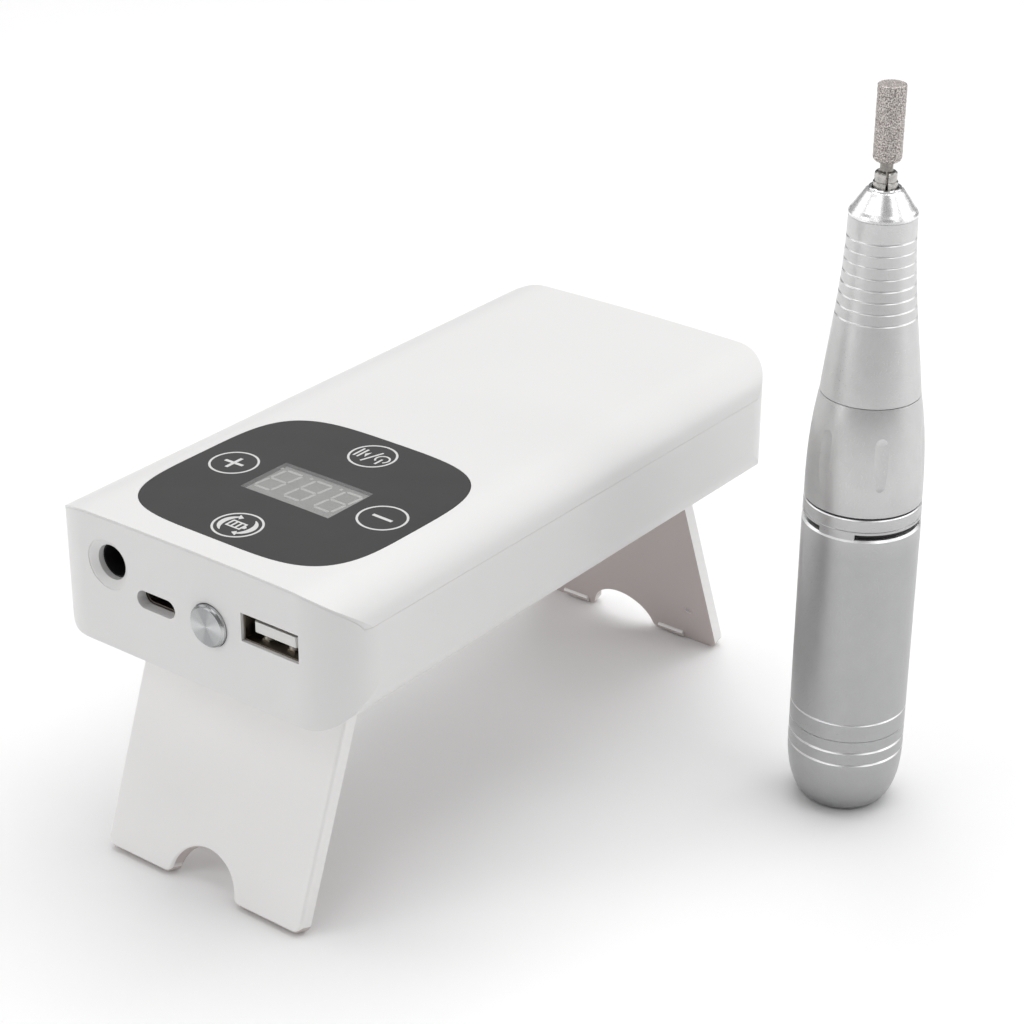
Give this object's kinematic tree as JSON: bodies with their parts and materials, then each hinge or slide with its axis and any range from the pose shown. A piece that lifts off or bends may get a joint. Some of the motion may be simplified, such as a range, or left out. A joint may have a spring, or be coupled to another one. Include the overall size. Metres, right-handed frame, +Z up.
{
  "type": "electric nail drill",
  "caption": "Portable nail drill: soft rectangular control box on folding legs, touch panel on top, sockets and button in front, pen-shaped metal handpiece with a bit standing beside it.",
  "frame": {"origin": "bottom centre of the whole set, on the table", "axes": "+Z up; the control box's length runs along Y and its socket end faces -Y; the handpiece stands on the +X side"},
  "size_m": [0.1212, 0.138, 0.1437],
  "materials": {
    "cover_white": "satin white moulded shell, upper half",
    "tub_white": "satin white moulded shell, lower half",
    "leg_white": "satin white moulded leg",
    "panel_grey": "glossy dark grey touch surface with pale line icons",
    "window_grey": "smoked display window",
    "board_green": "solder mask",
    "display_grey": "digit module, unlit segments",
    "socket_black": "moulded insulator",
    "tongue_white": "moulded socket tongue",
    "shell_steel": "stamped socket shell",
    "contact_steel": "plated spring contact",
    "button_alloy": "spun face with polished chamfer",
    "plunger_black": "moulded",
    "screw_steel": "zinc plated",
    "pin_steel": "ground pin",
    "cell_wrap": "wrapped lithium cell",
    "cradle_black": "moulded cradle",
    "tab_nickel": "nickel strip",
    "body_silver": "bead blasted, anodised silver",
    "liner_black": "dark liner",
    "nose_steel": "polished turned steel",
    "ring_steel": "bright polished",
    "tool_steel": "ground steel",
    "spring_steel": "music wire",
    "seal_black": "nitrile ring",
    "magnet_grey": "sintered magnet",
    "rotor_copper": "wound rotor",
    "bit_steel": "polished shank",
    "bit_grit": "plated diamond grit"
  },
  "bodies": {
    "control_box": {"lower_housing": "tub_white", "top_cover": "cover_white", "housing_screws": "screw_steel", "touch_panel": "panel_grey", "display_window": "window_grey", "touch_board": "board_green", "digit_display": "display_grey", "main_board": "board_green", "board_screws": "screw_steel", "handpiece_jack": "socket_black", "jack_contact": "contact_steel", "usb_c_shell": "shell_steel", "usb_c_tongue": "socket_black", "usb_a_shell": "shell_steel", "usb_a_tongue": "tongue_white", "usb_a_springs": "contact_steel", "usb_a_riser": "socket_black", "power_switch": "socket_black", "battery_cells": "cell_wrap", "cell_cradle": "cradle_black", "cell_tabs": "tab_nickel", "front_leg_pin": "pin_steel", "rear_leg_pin": "pin_steel"},
    "front_leg_body": {"front_leg": "leg_white"},
    "rear_leg_body": {"rear_leg": "leg_white"},
    "button_body": {"power_button": "button_alloy", "switch_plunger": "plunger_black"},
    "handpiece": {"motor_housing": "body_silver", "rear_cap": "body_silver", "cap_o_ring": "seal_black", "tail_socket": "socket_black", "lock_ring": "body_silver", "lock_liner": "liner_black", "core_tube": "body_silver", "grip_sleeve": "body_silver", "nose_cone": "nose_steel", "nose_ring": "ring_steel", "lock_spring": "spring_steel", "spindle_bearings": "tool_steel", "motor_can": "tool_steel", "motor_magnets": "magnet_grey", "motor_end_bell": "tool_steel"},
    "sleeve_body": {"twist_sleeve": "body_silver"},
    "collar_body": {"release_collar": "tool_steel"},
    "spindle_body": {"spindle": "tool_steel", "collet": "tool_steel", "drive_coupling": "tool_steel", "motor_rotor": "rotor_copper", "motor_shaft": "tool_steel"},
    "bit_body": {"bit_shank": "bit_steel", "bit_head": "bit_grit"}
  },
  "joints": [
    {"name": "front_leg_fold", "type": "hinge", "parent": "control_box", "child": "front_leg_body", "pos_m": [-0.02515, -0.05022, 0.0466], "axis": [1, 0, 0], "range_deg": [0, 110.3]},
    {"name": "rear_leg_fold", "type": "hinge", "parent": "control_box", "child": "rear_leg_body", "pos_m": [-0.02515, 0.05072, 0.0466], "axis": [-1, 0, 0], "range_deg": [0, 110.3]},
    {"name": "power_button_press", "type": "slide", "parent": "control_box", "child": "button_body", "axis": [0, 1, 0], "range_m": [0, 0.0005], "stiffness_N_per_m": 2500, "springref_m": -0.0002},
    {"name": "handpiece_lift", "type": "slide", "parent": "control_box", "child": "handpiece", "axis": [0, 0, 1], "range_m": [0, 0.06]},
    {"name": "twist_lock", "type": "hinge", "parent": "handpiece", "child": "sleeve_body", "pos_m": [0.04955, 0.0349, 0.075], "axis": [0, 0, 1], "range_deg": [0, 60]},
    {"name": "collar_release", "type": "slide", "parent": "handpiece", "child": "collar_body", "axis": [0, 0, 1], "range_m": [0, 0.0012], "deforming": ["lock_spring"]},
    {"name": "spindle_spin", "type": "hinge", "parent": "handpiece", "child": "spindle_body", "pos_m": [0.04955, 0.0349, 0.1], "axis": [0, 0, 1], "continuous": true},
    {"name": "bit_pull", "type": "slide", "parent": "spindle_body", "child": "bit_body", "axis": [0, 0, 1], "range_m": [0, 0.026]}
  ],
  "couplings": [
    {"joint": "collar_release", "follows": "twist_lock", "m_per_rad": 0.0011459}
  ]
}
